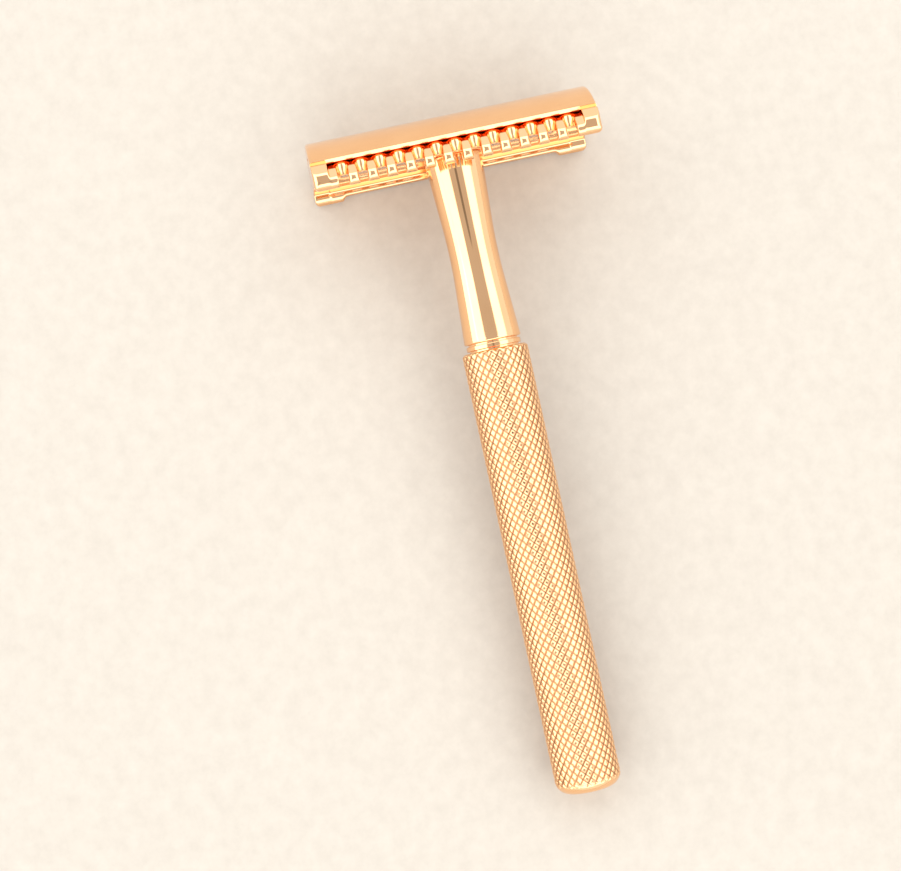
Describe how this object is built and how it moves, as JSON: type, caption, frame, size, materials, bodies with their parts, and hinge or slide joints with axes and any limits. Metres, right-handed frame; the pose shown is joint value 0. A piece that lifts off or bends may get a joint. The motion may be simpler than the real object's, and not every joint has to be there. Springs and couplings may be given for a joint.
{
  "type": "safety razor",
  "caption": "Double-edge safety razor with a screwed-down arched cap, a base plate with an open comb on one side and a closed bar on the other, and a knurled handle with a waisted neck.",
  "frame": {"origin": "centre of the flat end face of the foot, at the end of the grip away from the head", "axes": "+X along the handle from the foot to the head, +Y along the head's length, +Z out of the open-comb side, so the razor lies on its closed-bar side"},
  "size_m": [0.1043, 0.0432, 0.024],
  "materials": {
    "head_plate": "mirror-polished rose-gold plating over metal",
    "cap_plate": "mirror-polished rose-gold plating over metal",
    "neck_plate": "mirror-polished rose-gold plating over metal",
    "grip_plate": "diamond-knurled, bright rose-gold plating over metal",
    "stud_brass": "machined thread, bright",
    "insert_brass": "machined, bright"
  },
  "bodies": {
    "handle": {"grip": "grip_plate", "collar_ring": "neck_plate", "neck": "neck_plate", "neck_insert": "insert_brass"},
    "base_plate": {"comb_plate": "head_plate"},
    "cap_body": {"cap": "cap_plate", "cap_stud": "stud_brass", "blade_post_left": "cap_plate", "blade_post_right": "cap_plate"}
  },
  "joints": [
    {"name": "head_turn", "type": "hinge", "parent": "handle", "child": "base_plate", "pos_m": [0.09805, 0, 0], "axis": [1, 0, 0], "range_deg": [0, 2520]},
    {"name": "cap_lift", "type": "slide", "parent": "base_plate", "child": "cap_body", "axis": [1, 0, 0], "range_m": [0, 0.00561]}
  ],
  "couplings": [
    {"joint": "cap_lift", "follows": "head_turn", "m_per_rad": 0.00012732}
  ]
}
